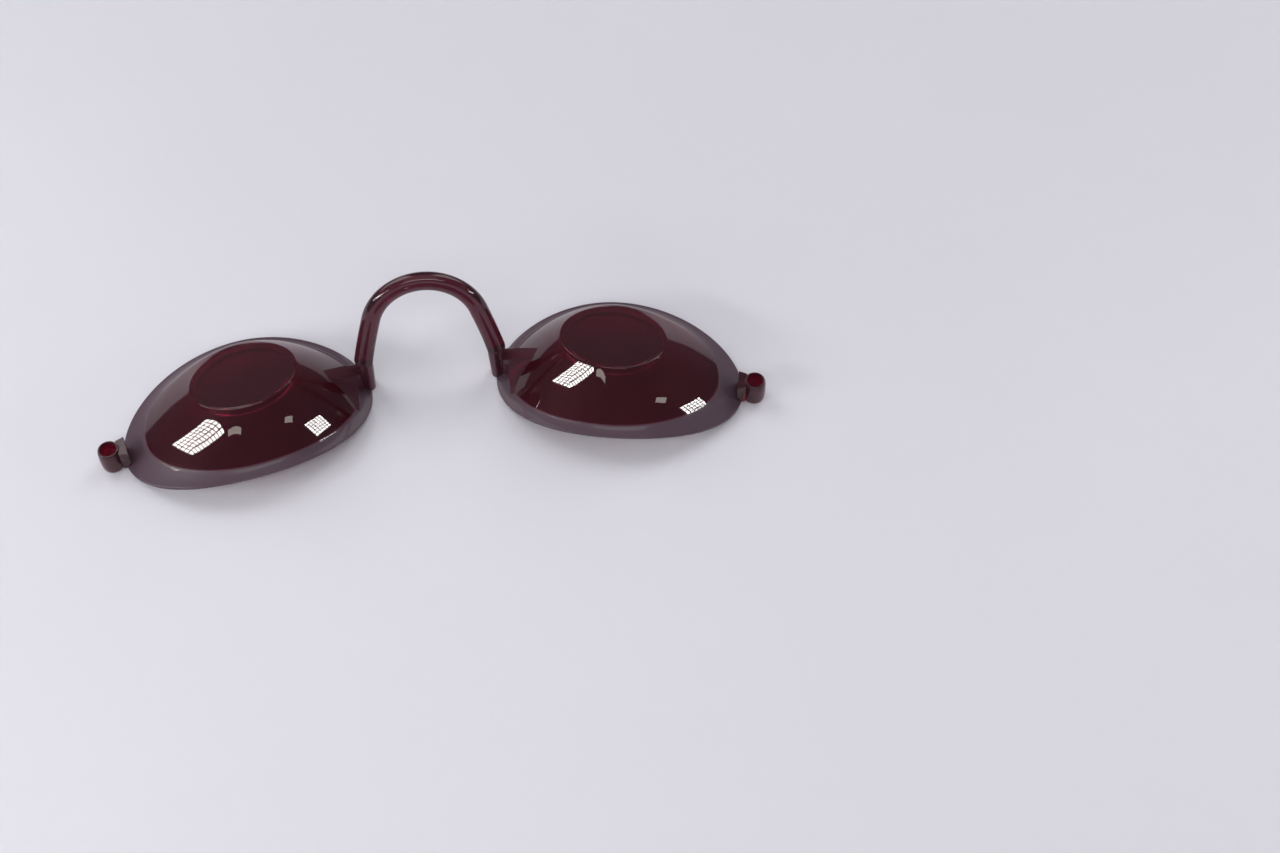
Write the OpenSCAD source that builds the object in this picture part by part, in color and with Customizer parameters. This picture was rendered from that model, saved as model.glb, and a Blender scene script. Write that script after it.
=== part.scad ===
// Eye cup goggles for light protection: two domed cups with flat filter windows, joined
// by a flexible twin rail arch over the nose, with a bored strap eyelet at each temple end.
// Millimetres. +X runs along the pair, +Y towards the brow side, +Z away from the face.
// The pair lies open side down: the ends of both rims touch the plane z = 0.

/* [Cups] */
// Distance from the middle plane to the middle of each cup
cup_x = 37.45; // [34:0.1:44]
// Shift of the whole pair along Y, which centres it on the origin
pair_y = 0.1; // [-6:0.05:6]
// Sweep of each cup's long axis towards the cheek at its temple end, in degrees
cup_sweep = 13.3; // [0:0.5:16]
// Rim reach from the cup's middle to its temple end
rim_temple = 27.4; // [22:0.1:32]
// Rim reach from the cup's middle to its nose end
rim_nose = 24.8; // [21:0.1:31]
// Half width of the rim
rim_half = 17.7; // [15:0.1:22]
// Rise of the rim's long sides above its ends, which follows brow and cheek
rim_rise = 5.5; // [0:0.1:6]
// Wall thickness of dome and brim
wall = 1.3; // [0.9:0.1:2]

/* [Brim] */
// Height of the brim's plain outer lip
lip_h = 0.7; // [0.4:0.1:2]
// Brim width at the temple end
brim_temple = 4.9; // [2:0.1:7]
// Brim width at the nose end
brim_nose = 2.3; // [1:0.1:5]
// Brim width at the long sides
brim_side = 1.8; // [1:0.1:5]
// Height of the crease above the rim at the temple end
crease_temple = 4; // [2:0.1:8]
// Height of the crease above the rim at the nose end
crease_nose = 1.9; // [1.5:0.1:6]
// Height of the crease above the rim at the long sides
crease_side = 1.6; // [1.5:0.1:6]
// Sag of the brim's slope below a straight line
brim_sag = 0.15; // [0:0.05:0.4]

/* [Domes] */
// Bow of the dome above a straight slope from crease to window, at the temple end
bow_temple = 0.4; // [0:0.05:1.5]
// Bow of the dome at the nose end
bow_nose = 0.55; // [0:0.05:1.5]
// Bow of the dome at the cheek side
bow_cheek = 0.1; // [0:0.05:1]
// Bow of the dome at the brow side
bow_brow = 0.45; // [0:0.05:1]

/* [Windows] */
// Radius of each flat filter window
window_r = 10.6; // [8:0.1:14]
// Thickness of each window
window_t = 1.2; // [0.8:0.1:2]
// Height of the window's middle above the rim's ends
window_z = 13.1; // [12:0.1:17]
// Shift of the window towards the temple
window_u = -0.1; // [-4:0.1:4]
// Shift of the window towards the brow
window_v = 2.7; // [-4:0.1:4]
// Backward tilt of the window against the rim's plane, in degrees
window_tilt = 17; // [0:0.5:25]
// Outward lean of the window, in degrees
window_lean = 3; // [0:0.5:15]
// Width of the flat land round the window
land_w = 0.4; // [0.4:0.1:2]
// Width of the ledge that the window sits on
ledge_w = 0.9; // [0.5:0.1:2]
// Chamfer round the window's outer face
window_edge = 0.2; // [0:0.05:0.4]

/* [Bridge] */
// Radius of the arch's crown, at the middle of the rails
arch_r = 11.5; // [9:0.1:15]
// Height of the arch above its feet, at the middle of the rails
arch_h = 18.3; // [14:0.1:26]
// Splay of the legs, in degrees
leg_splay = 17.7; // [4:0.5:25]
// Lean of the arch towards the brow, in degrees
arch_lean = 15.2; // [0:0.5:30]
// Height of the arch's feet
foot_z = 9.7; // [8:0.1:14]
// Shift of the feet towards the brow from the nose ends of the rims
foot_back = 0.1; // [-2:0.1:6]
// Width of the two rails together, across the arch
rail_w = 3.9; // [3:0.1:6]
// Depth of the rails along Y
rail_d = 3.5; // [2.5:0.1:5]
// Depth of the groove between the rails at the crown, as a share of half the depth
groove_crown = 0.16; // [0:0.01:0.4]
// Depth of the groove at the feet, as a share of half the depth
groove_foot = 0.42; // [0:0.01:0.6]
// Depth of the recess that the groove opens into below the feet, as the same share
groove_deep = 0.75; // [0.4:0.01:0.85]
// Length over which the inner rail's faces turn flat above the foot
facet_l = 4; // [2:0.1:8]
// How far each foot is drawn in by the curl of its leg
leg_curl = 0.45; // [0:0.05:1]

/* [Anchors] */
// Reach of the gusset's flat top from the foot to the dome
gusset_reach = 7.2; // [6:0.1:8.5]
// Width of the gusset's top at the dome
gusset_tip = 1.6; // [0.8:0.1:3]
// Drop of the gusset's top below the arch's foot, at the leg
gusset_drop = 2.1; // [1:0.1:3.5]
// Rise of the gusset's top from the leg to the dome
gusset_rise = 1.2; // [0:0.1:2]
// Reach of the ramp before the gusset, from the foot towards the cheek
ramp_reach = 6.4; // [5:0.1:8]
// Drop of the ramp's cheek corner below the arch's foot
ramp_drop = 5.4; // [4:0.1:7]
// Drop of the ramp's nose corner below the arch's foot
ramp_foot = 7; // [5:0.1:8]
// Width of the leg's pad on the nose end of the brim
pad_w = 2.6; // [2:0.1:4]
// Depth of the pad along Y
pad_d = 3.6; // [3:0.1:6]
// Shift of the pad towards the brow from the rim's nose end
pad_back = 1; // [0:0.1:2]
// How far the pad stands out past the rim's nose end
pad_out = 0.6; // [0:0.1:1]
// Height of the pad's lower face
pad_z = 0.6; // [0.3:0.1:1.5]

/* [Eyelets] */
// Distance of the eyelet's bore from the middle of the cup
eyelet_u = 29.75; // [26:0.1:34]
// Radius of the strap bore
bore_r = 1.7; // [1:0.05:2.2]
// Wall of the eyelet's barrel
eyelet_wall = 0.65; // [0.5:0.05:1.5]
// How far the barrel's ends are drawn in
barrel_in = 0.3; // [0:0.05:0.35]
// Height of the eyelet
eyelet_h = 5.6; // [3:0.1:8]
// Height of the eyelet's lower face above the rim's ends
eyelet_z = 0.1; // [0:0.1:3]
// Width of the web at the eyelet
web_w = 3.6; // [2:0.1:6]
// Width of the web at the brim
web_root = 4.6; // [3:0.1:8]
// Reach of the web over the brim
web_over = 1.1; // [0.5:0.1:2]
// Step down from the barrel's end to the web's top and foot
web_step = 0.4; // [0.2:0.1:1]

/* [Hidden] */
// Points round each ring of a cup, and steps up its dome
ring_n = 72;
dome_n = 9;
// Points round the rails' section, and steps along the arch
rail_n = 28;
arch_n = 40;
foot_n = 9;
// Shares of the wall by which the inner crease is drawn in and lowered
thin_in = 0.75;
thin_down = 0.7;
// Chamfer of the rim's foot
rim_edge = 0.25;
// Depth that cutters reach below the rim, and overlap of solids that are cut later
under = 2;
over = 1.25;
// Place and half width of the groove, as shares of the rails' width
groove_at = 0.1;
groove_half = 0.13;
// Power that flattens a round section, and power of the leg's flow into its pad
flat_power = 0.45;
foot_power = 1.3;
colour_plastic = [0.22, 0.03, 0.06];
colour_window = [0.26, 0.06, 0.09];
// Nose end of the rim in the row frame
tip_x = cup_x - rim_nose * cos(cup_sweep);
tip_y = pair_y + rim_nose * sin(cup_sweep);
foot_y = tip_y + foot_back;
// Length of each leg, and foot of the arch's middle line
leg_l = (arch_h - arch_r + arch_r * sin(leg_splay)) / cos(leg_splay);
foot_x = arch_r * cos(leg_splay) + leg_l * sin(leg_splay) - leg_curl;
eyelet_r = bore_r + eyelet_wall;
$fn = 96;

function lerp(a, b, k) = a + (b - a) * k;

// Share of the temple end in a value that changes round the cup, from 0 to 1
function ends(t, temple, nose, side) =
    side + (cos(t) >= 0 ? temple - side : nose - side) * pow(cos(t), 2);

function rim_reach(t) = cos(t) >= 0 ? rim_temple : rim_nose;

// Point on the rim moved in by a distance and up by a height
function rim_pt(t, inset, up) = [
    (rim_reach(t) - inset) * cos(t),
    (rim_half - inset) * sin(t),
    rim_rise * pow(sin(t), 2) + up
];

function crease_pt(t, inset, down) = rim_pt(
    t,
    ends(t, brim_temple, brim_nose, brim_side) + inset,
    ends(t, crease_temple, crease_nose, crease_side) - down
);

// Point in the window's own frame turned to the cup's frame
function lean_y(p) = [
    p[0] * cos(window_lean) + p[2] * sin(window_lean),
    p[1],
    p[2] * cos(window_lean) - p[0] * sin(window_lean)
];
function tilt_x(p) = [
    p[0],
    p[1] * cos(window_tilt) + p[2] * sin(window_tilt),
    p[2] * cos(window_tilt) - p[1] * sin(window_tilt)
];
function window_pt(t, r, up) =
    lean_y(tilt_x([r * cos(t), r * sin(t), up])) + [window_u, window_v, window_z];

// Bow at an angle round the cup
function bow(t) = let (side = sin(t) >= 0 ? bow_brow : bow_cheek)
    side + (cos(t) >= 0 ? bow_temple - side : bow_nose - side) * pow(cos(t), 2);

// Point a share of the way up the dome, pushed out square to its slope by the bow
function dome_pt(t, low, top, k) = let (
    d = top - low,
    run = norm([d[0], d[1]]),
    push = 4 * k * (1 - k) * bow(t) / norm(d)
) low + d * k + push * [-d[0] * d[2] / run, -d[1] * d[2] / run, run];

function angle(i) = 360 * i / ring_n;
function ring(f) = [for (i = [0:ring_n - 1]) f(angle(i))];

// Rings of the outer skin from the rim's foot to the window's land
outer_rings = concat(
    [
        ring(function (t) rim_pt(t, rim_edge, 0)),
        ring(function (t) rim_pt(t, 0, rim_edge)),
        ring(function (t) rim_pt(t, 0, lip_h)),
        ring(function (t) lerp(rim_pt(t, 0, lip_h), crease_pt(t, 0, 0), 0.5) - [0, 0, brim_sag])
    ],
    [for (k = [0:dome_n]) ring(function (t)
        dome_pt(t, crease_pt(t, 0, 0), window_pt(t, window_r + land_w, 0), k / dome_n))]
);

function inner_crease(t) = crease_pt(t, wall * thin_in, wall * thin_down);

// Rings of the inner skin from the rim's foot to the underside of the window's ledge
inner_rings = concat(
    [
        ring(function (t) rim_pt(t, wall, 0)),
        ring(function (t) lerp(rim_pt(t, wall, 0), inner_crease(t), 0.5))
    ],
    [for (k = [0:dome_n]) ring(function (t) dome_pt(
        t,
        inner_crease(t),
        window_pt(t, window_r + land_w - wall * 0.5, -window_t - wall * thin_down),
        k / dome_n
    ))]
);

function flat(rings) = [for (r = rings) each r];

// Triangles between ring j and ring j + 1 of a stack with n points each
function belt(j, n) = [for (i = [0:n - 1]) let (a = j * n + i, b = j * n + (i + 1) % n)
    each [[a, a + n, b], [b, a + n, b + n]]];

// Skin closed by its first and last ring
module stack(rings) {
    n = len(rings[0]);
    m = len(rings);
    polyhedron(
        points = flat(rings),
        faces = concat(
            [[for (i = [0:n - 1]) i]],
            [for (j = [0:m - 2]) each belt(j, n)],
            [[for (i = [n - 1:-1:0]) (m - 1) * n + i]]
        ),
        convexity = 6
    );
}

// Ring of the rim's outline on a flat plane
function flat_rim(inset, z) = ring(function (t) let (p = rim_pt(t, inset, 0)) [p[0], p[1], z]);

// Outside of the cup with nothing hollowed out
module cup_blank() {
    stack(concat([ring(function (t) rim_pt(t, 3 * under, under))], outer_rings));
}

// All that lies in and under the cup, which trims the pieces that stand on it
module cup_shadow() {
    stack(concat([flat_rim(rim_edge, -under)], outer_rings));
}

module cup_hollow() {
    stack(concat([flat_rim(wall, -under)], inner_rings));
}

module in_window() {
    translate([window_u, window_v, window_z])
        rotate([0, window_lean, 0])
            rotate([-window_tilt, 0, 0])
                children();
}

// Right hand cup in the row frame
module on_cup() {
    translate([cup_x, pair_y, 0])
        rotate([0, 0, -cup_sweep])
            children();
}

module eye_cup() {
    on_cup()
        difference() {
            cup_blank();
            cup_hollow();
            in_window() {
                translate([0, 0, -window_t])
                    cylinder(r = window_r, h = window_t + under);
                translate([0, 0, -window_t - 2 * under])
                    cylinder(r = window_r - ledge_w, h = 3 * under);
            }
        }
}

module filter_window() {
    on_cup()
        in_window()
            translate([0, 0, -window_t])
                rotate_extrude()
                    polygon([
                        [0, 0],
                        [window_r, 0],
                        [window_r, window_t - window_edge],
                        [window_r - window_edge, window_t],
                        [0, window_t]
                    ]);
}

// Middle line of the arch in its own plane, from the left foot to the right foot
turn_l = arch_r * (180 - 2 * leg_splay) * PI / 180;
path_l = 2 * leg_l + turn_l;
function arch_angle(s) = s < leg_l ? 180 - leg_splay
    : s > leg_l + turn_l ? leg_splay
    : 180 - leg_splay - (s - leg_l) * 180 / (PI * arch_r);
function leg_pt(side, d) = [
    side * (foot_x + leg_curl - d * sin(leg_splay) - leg_curl * pow(1 - d / leg_l, 2)),
    d * cos(leg_splay)
];
function arch_pt(s) = s < leg_l ? leg_pt(-1, s)
    : s > leg_l + turn_l ? leg_pt(1, path_l - s)
    : [0, arch_h - arch_r] + arch_r * [cos(arch_angle(s)), sin(arch_angle(s))];

// Depth of the groove between the rails, which grows down the legs
function groove_share(s) = lerp(groove_foot, groove_crown,
    pow(max(0, sin(180 * s / path_l)), 0.7));
// Share of flatness of the inner rail's faces
function facet_share(s) = max(0, 1 - min(s, path_l - s) / facet_l);
// Sine whose wave turns flat topped on the inner rail
function blunt_sin(b, share) = let (power = cos(b) < groove_at ? lerp(1, flat_power, share) : 1)
    sign(sin(b)) * pow(abs(sin(b)), power);
// The outer rail's cheek side can be sunk by a share of its depth
function rail_pt(b, groove, share, sunk) = let (
    across = rail_w / 2 * cos(b),
    cut = 1 - groove * exp(-pow((across - groove_at * rail_w) / (groove_half * rail_w), 2)),
    left = sin(b) < 0 && across > groove_at * rail_w ? 1 - sunk : 1
) [across, rail_d / 2 * blunt_sin(b, share) * cut * left];

// Turns a point of the arch's plane, with a depth, to the row frame
function from_arch(x, d, s) = [
    x,
    foot_y + s * sin(arch_lean) + d * cos(arch_lean),
    foot_z + s * cos(arch_lean) - d * sin(arch_lean)
];
function rail_ring(s, groove, sunk) = let (p = arch_pt(s), a = arch_angle(s))
    [for (i = [0:rail_n - 1]) let (q = rail_pt(-360 * i / rail_n, groove, facet_share(s), sunk))
        from_arch(p[0] + q[0] * cos(a), q[1], p[1] + q[0] * sin(a))];

module nose_bridge() {
    color(colour_plastic)
        stack([for (k = [0:arch_n]) let (s = path_l * k / arch_n) rail_ring(s, groove_share(s), 0)]);
}

// Foot of the right leg: the groove opens into a recess and the section flows into the pad
function pad_pt(b) = [
    tip_x - pad_out + pad_w / 2 * (1 + cos(b)),
    tip_y + pad_back + pad_d / 2 * blunt_sin(b, 1),
    pad_z
];
function foot_top(w) = let (open = min(1, 3 * w))
    rail_ring(path_l, lerp(groove_foot, groove_deep, open), open * groove_deep);
foot_rings = [for (k = [0:foot_n]) let (w = k / foot_n, top = foot_top(w))
    [for (i = [0:rail_n - 1]) let (low = pad_pt(-360 * i / rail_n)) [
        lerp(top[i][0], low[0], pow(w, foot_power)),
        lerp(top[i][1], low[1], pow(w, foot_power)),
        lerp(top[i][2], low[2], w)
    ]]];

// Corners of the gusset's flat top: cheek side and brow side of the leg, then at the dome
foot = [foot_x, foot_y, foot_z];
gusset_front = foot + [0.3 * rail_w, -rail_d / 3, -gusset_drop - 0.3 * rail_d];
gusset_back = foot + [0.6 * rail_w, rail_d / 3, -gusset_drop];
gusset_end = foot + [gusset_reach, -0.9 * rail_d, gusset_rise - gusset_drop];
// Corners of the ramp: where it would meet the leg's inner side, and cheek side on the dome
ramp_nose = [tip_x, tip_y - pad_d / 2, foot_z - ramp_foot];
ramp_cheek = foot + [gusset_reach / 2, -ramp_reach, -ramp_drop];
// The ramp starts above the crease at the nose end
ramp_x = tip_x + brim_nose * cos(cup_sweep);

// Point at x and y on the plane of three corners
function on_plane(c, x, y) = let (n = cross(c[1] - c[0], c[2] - c[0]))
    [x, y, c[0][2] - (n[0] * (x - c[0][0]) + n[1] * (y - c[0][1])) / n[2]];

// Straight sided solid under a flat top, down to the pad's height
module prism(top) {
    n = len(top);
    polyhedron(
        points = concat([for (q = top) [q[0], q[1], pad_z]], top),
        faces = concat(
            [[for (i = [0:n - 1]) i]],
            [[for (i = [n - 1:-1:0]) n + i]],
            [for (i = [0:n - 1]) [(i + 1) % n, i, n + i, n + (i + 1) % n]]
        )
    );
}

// Plate with its flat top, and the ramp before it; both run on into the dome
module gusset() {
    top = [gusset_front, gusset_end, gusset_back];
    slope = [ramp_nose, ramp_cheek, gusset_end];
    far = lerp(gusset_front, gusset_end, over);
    low = ramp_cheek[1] - over;
    prism([
        gusset_front,
        far,
        on_plane(top, far[0] + over, far[1] + gusset_tip),
        gusset_back,
        on_plane(top, foot_x, gusset_back[1])
    ]);
    prism([
        on_plane(slope, ramp_x, gusset_front[1]),
        on_plane(slope, ramp_x, low),
        on_plane(slope, ramp_cheek[0] + over, low),
        on_plane(slope, far[0], far[1] + rim_edge)
    ]);
}

module bridge_anchor() {
    difference() {
        union() {
            stack(foot_rings);
            gusset();
        }
        on_cup()
            cup_shadow();
    }
}

module barrel() {
    rotate_extrude()
        polygon([
            [0, 0],
            [eyelet_r - barrel_in, 0],
            [eyelet_r - barrel_in / 3, eyelet_h / 8],
            [eyelet_r, eyelet_h / 3],
            [eyelet_r, eyelet_h * 2 / 3],
            [eyelet_r - barrel_in / 3, eyelet_h * 7 / 8],
            [eyelet_r - barrel_in, eyelet_h],
            [0, eyelet_h]
        ]);
}

module web() {
    inner = rim_temple - web_over;
    outer = eyelet_u - bore_r;
    linear_extrude(eyelet_h - 2 * web_step)
        polygon([
            [inner, -web_root / 2],
            [outer, -web_w / 2],
            [outer, web_w / 2],
            [inner, web_root / 2]
        ]);
}

module strap_eyelet() {
    on_cup()
        difference() {
            union() {
                translate([eyelet_u, 0, eyelet_z])
                    barrel();
                translate([0, 0, eyelet_z + web_step])
                    web();
            }
            translate([eyelet_u, 0, eyelet_z - under / 2])
                cylinder(r = bore_r, h = eyelet_h + under);
            cup_shadow();
        }
}

module left_eye_cup() {
    color(colour_plastic)
        mirror([1, 0, 0])
            eye_cup();
}

module right_eye_cup() {
    color(colour_plastic)
        eye_cup();
}

module left_filter_window() {
    color(colour_window)
        mirror([1, 0, 0])
            filter_window();
}

module right_filter_window() {
    color(colour_window)
        filter_window();
}

module left_bridge_anchor() {
    color(colour_plastic)
        mirror([1, 0, 0])
            bridge_anchor();
}

module right_bridge_anchor() {
    color(colour_plastic)
        bridge_anchor();
}

module left_strap_eyelet() {
    color(colour_plastic)
        mirror([1, 0, 0])
            strap_eyelet();
}

module right_strap_eyelet() {
    color(colour_plastic)
        strap_eyelet();
}

left_eye_cup();
right_eye_cup();
left_filter_window();
right_filter_window();
nose_bridge();
left_bridge_anchor();
right_bridge_anchor();
left_strap_eyelet();
right_strap_eyelet();
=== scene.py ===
"""Eye cup goggles in clear dark red plastic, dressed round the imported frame, in a plain studio."""

import logging
import math
from dataclasses import dataclass, field
from enum import Enum
from typing import Optional, Sequence, Union

import bpy
import numpy as np
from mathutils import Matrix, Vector


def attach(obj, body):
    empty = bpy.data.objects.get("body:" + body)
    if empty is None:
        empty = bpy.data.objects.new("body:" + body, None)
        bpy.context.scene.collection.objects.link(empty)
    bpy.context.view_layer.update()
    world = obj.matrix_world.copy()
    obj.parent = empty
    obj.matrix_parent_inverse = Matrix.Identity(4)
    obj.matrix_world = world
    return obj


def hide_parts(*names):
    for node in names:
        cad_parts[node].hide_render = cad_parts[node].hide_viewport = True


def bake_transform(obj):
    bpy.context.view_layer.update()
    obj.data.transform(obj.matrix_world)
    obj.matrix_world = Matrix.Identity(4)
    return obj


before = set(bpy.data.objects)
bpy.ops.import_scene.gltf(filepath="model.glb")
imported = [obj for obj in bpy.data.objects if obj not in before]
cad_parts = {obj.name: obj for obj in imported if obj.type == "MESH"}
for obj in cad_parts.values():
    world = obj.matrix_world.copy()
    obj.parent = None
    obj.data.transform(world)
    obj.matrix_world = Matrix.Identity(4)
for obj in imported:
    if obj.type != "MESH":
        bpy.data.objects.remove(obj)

LOG = logging.getLogger("goggles")
# Millimetres to metres.
MM = 0.001
# Angle in degrees over which an edge stays crisp.
CRISP = 36.0
# Most of an edge's length that the rounding of one of its ends takes.
ARM_LIMIT = 0.48
# Steps of a rounding.
ROUND_STEPS = 4
Colour = tuple[float, float, float]
# A profile: each ring of points with the size of the rounding there, 0 for none.
Profile = list[tuple[np.ndarray, float]]


class Side(Enum):
    """The side that a piece stands on, as the sign of its x."""

    LEFT = -1
    RIGHT = 1

    @property
    def word(self) -> str:
        """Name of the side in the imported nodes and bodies."""
        return self.name.lower()


class Slot(Enum):
    """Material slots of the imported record."""

    CUP = "cup_plastic"
    WINDOW = "window_plastic"
    BRIDGE = "bridge_plastic"


class Region(Enum):
    """Place in a piece's list of finishes that a face takes."""

    SKIN = 0
    BOND = 1


class Paint(Enum):
    """A share painted on a mesh's points, which its finish reads."""

    SATIN = "satin"
    FROST = "frost"


class Axis(Enum):
    """An axis to turn about, as the two places in a point that turn into each other."""

    X = (1, 2)
    Y = (2, 0)
    Z = (0, 1)


class Trim(Enum):
    """What one mesh does to another."""

    JOIN = "UNION"
    CUT = "DIFFERENCE"


class Rule(Enum):
    """What a Math node works out."""

    SUM = "ADD"
    PRODUCT = "MULTIPLY"
    ABOVE = "GREATER_THAN"
    FRACTION = "FRACT"


class Value:
    """A number that varies over a surface, whose arithmetic adds Math nodes."""

    def __init__(self, graph: "Graph", socket: bpy.types.NodeSocket) -> None:
        """Wraps one output socket.

        Args:
            graph: The tree that the socket is in.
            socket: The output socket.
        """
        self.graph = graph
        self.socket = socket

    def __add__(self, other: "Operand") -> "Value":
        """Sum of the two."""
        return self.graph.math(Rule.SUM, self, other)

    __radd__ = __add__

    def __mul__(self, other: "Operand") -> "Value":
        """Product of the two."""
        return self.graph.math(Rule.PRODUCT, self, other)

    __rmul__ = __mul__

    def above(self, limit: float) -> "Value":
        """1 where this is more than the limit, and 0 elsewhere."""
        return self.graph.math(Rule.ABOVE, self, limit)

    def between(self, low: float, high: float) -> "Value":
        """This brought to 0 at the low value and 1 at the high one, smoothly.

        Args:
            low: Where the result is 0.
            high: Where the result is 1.

        Returns:
            The share between the two.
        """
        node = self.graph.node("ShaderNodeMapRange", {"interpolation_type": "SMOOTHSTEP"},
                               {"Value": self, "From Min": low, "From Max": high})
        return Value(self.graph, node.outputs[0])


Operand = Union[Value, float, int]


class Graph:
    """Node tree of one material or world, built one node at a time."""

    def __init__(self, tree: bpy.types.NodeTree) -> None:
        """Empties the tree.

        Args:
            tree: The tree to build in.
        """
        self.tree = tree
        tree.nodes.clear()

    def node(self, kind: str, settings: Optional[dict] = None,
             values: Optional[dict] = None) -> bpy.types.Node:
        """Adds one node.

        Args:
            kind: The node's type.
            settings: Its settings, such as a Math node's operation, set first.
            values: A number, colour, Value or socket for each input, by name or place.

        Returns:
            The new node.
        """
        made = self.tree.nodes.new(kind)
        for name, setting in (settings or {}).items():
            setattr(made, name, setting)
        for name, value in (values or {}).items():
            socket = made.inputs[name]
            if isinstance(value, Value):
                value = value.socket
            if isinstance(value, bpy.types.NodeSocket):
                self.tree.links.new(value, socket)
            else:
                socket.default_value = value
        return made

    def math(self, rule: Rule, first: Operand, second: Operand = 0.0) -> Value:
        """Adds one Math node.

        Args:
            rule: What it works out.
            first: Its first number.
            second: Its second number.

        Returns:
            Its result.
        """
        node = self.node("ShaderNodeMath", {"operation": rule.value}, {0: first, 1: second})
        return Value(self, node.outputs[0])

    def noise(self, scale: float, detail: float) -> Value:
        """Noise over the piece's own points.

        Args:
            scale: Waves to a metre.
            detail: Octaves of finer noise.

        Returns:
            The noise, from 0 to 1.
        """
        points = self.node("ShaderNodeTexCoord").outputs["Object"]
        node = self.node("ShaderNodeTexNoise", None,
                         {"Vector": points, "Scale": scale, "Detail": detail})
        return Value(self, node.outputs["Fac"])

    def painted(self, paint: Paint) -> Value:
        """Share painted on the mesh's points.

        Args:
            paint: The paint.

        Returns:
            The share.
        """
        node = self.node("ShaderNodeAttribute", {"attribute_name": paint.value})
        return Value(self, node.outputs["Fac"])

    def mix(self, share: Operand, first: Colour, second: Colour) -> bpy.types.NodeSocket:
        """Mixes two colours.

        Args:
            share: Share of the second colour.
            first: The first colour.
            second: The second colour.

        Returns:
            The colour socket.
        """
        node = self.node("ShaderNodeMix", {"data_type": "RGBA"},
                         {0: share, 6: (*first, 1.0), 7: (*second, 1.0)})
        return node.outputs[2]

    def bump(self, height: Value, strength: float, distance: float) -> bpy.types.NodeSocket:
        """Bumps the surface.

        Args:
            height: The height, from 0 to 1.
            strength: Share of the bump that shows.
            distance: Height of the bump in metres.

        Returns:
            The normal socket.
        """
        node = self.node("ShaderNodeBump", None,
                         {"Height": height, "Strength": strength, "Distance": distance})
        return node.outputs["Normal"]


@dataclass(frozen=True)
class Mottle:
    """Soft patches of noise.

    Attributes:
        scale: Waves to a metre.
        detail: Octaves of finer noise.
        low: Level of the noise under which the patches are 0.
        high: Level over which they are 1.
    """

    scale: float
    detail: float
    low: float
    high: float

    def share(self, g: Graph) -> Value:
        """The patches over the surface of one tree."""
        return g.noise(self.scale, self.detail).between(self.low, self.high)


@dataclass(frozen=True)
class Relief:
    """Fine unevenness of a surface.

    Attributes:
        scale: Waves to a metre.
        detail: Octaves of finer noise.
        height: Its height in metres.
        share: Share of it that shows.
    """

    scale: float
    detail: float
    height: float
    share: float

    def normal(self, g: Graph) -> bpy.types.NodeSocket:
        """The bumped normal in one tree."""
        return g.bump(g.noise(self.scale, self.detail), self.share, self.height)


@dataclass(frozen=True)
class Finish:
    """What every finish shares: a name, and a material made of its surface."""

    name: str

    def surface(self, g: Graph) -> bpy.types.NodeSocket:
        """Builds the shader.

        Args:
            g: The material's tree.

        Returns:
            The shader socket.
        """
        raise NotImplementedError

    def material(self) -> bpy.types.Material:
        """Builds the material.

        Returns:
            The material.
        """
        made = bpy.data.materials.new(self.name)
        made.use_nodes = True
        g = Graph(made.node_tree)
        g.node("ShaderNodeOutputMaterial", None, {"Surface": self.surface(g)})
        return made


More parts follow.
